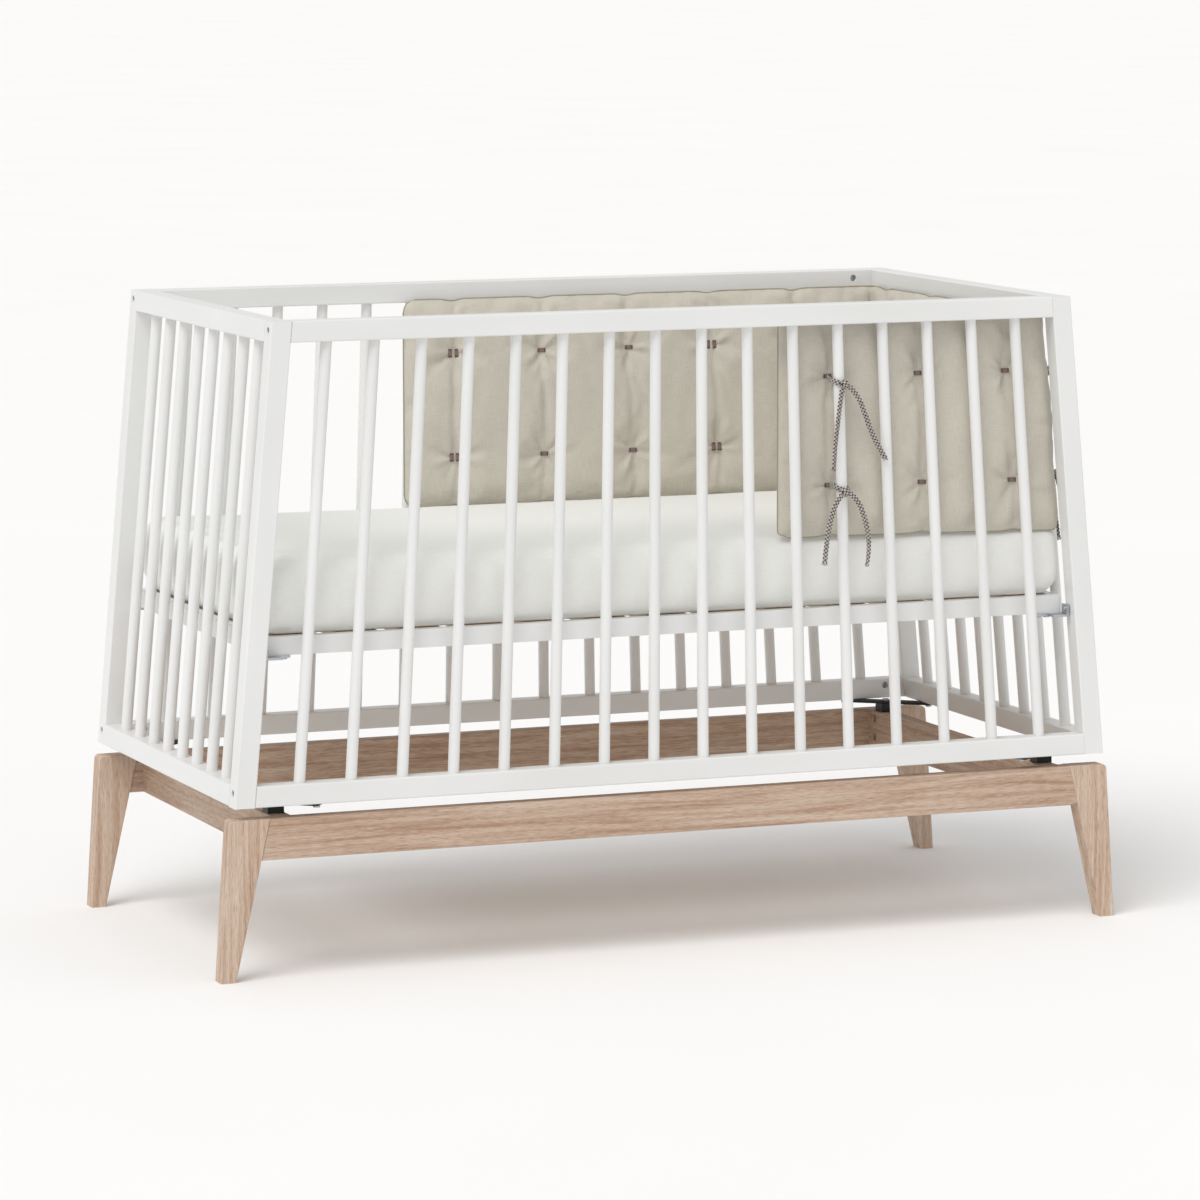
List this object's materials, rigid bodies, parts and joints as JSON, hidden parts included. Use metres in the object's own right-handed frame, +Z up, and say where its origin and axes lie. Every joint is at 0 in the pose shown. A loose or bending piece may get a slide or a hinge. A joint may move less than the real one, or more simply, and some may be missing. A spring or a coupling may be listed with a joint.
{
  "type": "slatted cot",
  "caption": "White slatted cot body with leaning end panels on a splayed oak stand, with a height-adjustable mattress base, mattress, fitted sheet and tied quilted bumper.",
  "frame": {"origin": "on the floor, under the middle of the cot", "axes": "+X along the cot's length towards the end with the bumper, -Y out of the front long side, +Z up"},
  "size_m": [1.384, 0.6798, 0.92],
  "materials": {
    "white_lacquer": "satin",
    "oak": "matte",
    "beech": "matte",
    "zinc_steel": "satin",
    "black_steel": "satin",
    "ticking": "matte",
    "cotton_sheet": "matte",
    "quilted_linen": "matte",
    "tie_braid": "matte"
  },
  "bodies": {
    "cot": {"front_left_post": "white_lacquer", "front_left_leg": "oak", "front_right_post": "white_lacquer", "front_right_leg": "oak", "rear_left_post": "white_lacquer", "rear_left_leg": "oak", "rear_right_post": "white_lacquer", "rear_right_leg": "oak", "front_top_rail": "white_lacquer", "front_bottom_rail": "white_lacquer", "front_slats": "white_lacquer", "rear_top_rail": "white_lacquer", "rear_bottom_rail": "white_lacquer", "rear_slats": "white_lacquer", "left_top_rail": "white_lacquer", "left_bottom_rail": "white_lacquer", "left_slats": "white_lacquer", "right_top_rail": "white_lacquer", "right_bottom_rail": "white_lacquer", "right_slats": "white_lacquer", "front_apron": "oak", "rear_apron": "oak", "left_cross_member": "oak", "right_cross_member": "oak", "frame_bolts": "zinc_steel", "barrel_nuts": "zinc_steel", "end_rail_pins": "beech", "leg_dowels": "beech", "cam_locks": "zinc_steel", "cam_pins": "zinc_steel", "corner_brackets": "black_steel", "bracket_screws": "zinc_steel", "bumper_back": "quilted_linen", "bumper_front": "quilted_linen", "bumper_end": "quilted_linen", "tie_knots": "tie_braid", "tie_front_upper_near": "tie_braid", "tie_front_upper_far": "tie_braid", "tie_front_lower_near": "tie_braid", "tie_front_lower_far": "tie_braid", "tie_rear_upper_left_near": "tie_braid", "tie_rear_upper_left_far": "tie_braid", "tie_rear_lower_left_near": "tie_braid", "tie_rear_lower_left_far": "tie_braid", "tie_rear_upper_right_near": "tie_braid", "tie_rear_upper_right_far": "tie_braid", "tie_rear_lower_right_near": "tie_braid", "tie_rear_lower_right_far": "tie_braid", "tie_end_upper_near": "tie_braid", "tie_end_upper_far": "tie_braid", "tie_end_lower_near": "tie_braid", "tie_end_lower_far": "tie_braid"},
    "mattress_base": {"base_long_rails": "white_lacquer", "base_end_rails": "white_lacquer", "base_slats": "beech", "base_screws": "zinc_steel", "base_hooks": "zinc_steel", "hook_bolts": "zinc_steel", "mattress": "ticking", "fitted_sheet": "cotton_sheet"}
  },
  "joints": [
    {"name": "mattress_base_height", "type": "slide", "parent": "cot", "child": "mattress_base", "axis": [0, 0, 1], "range_m": [-0.165, 0]}
  ]
}
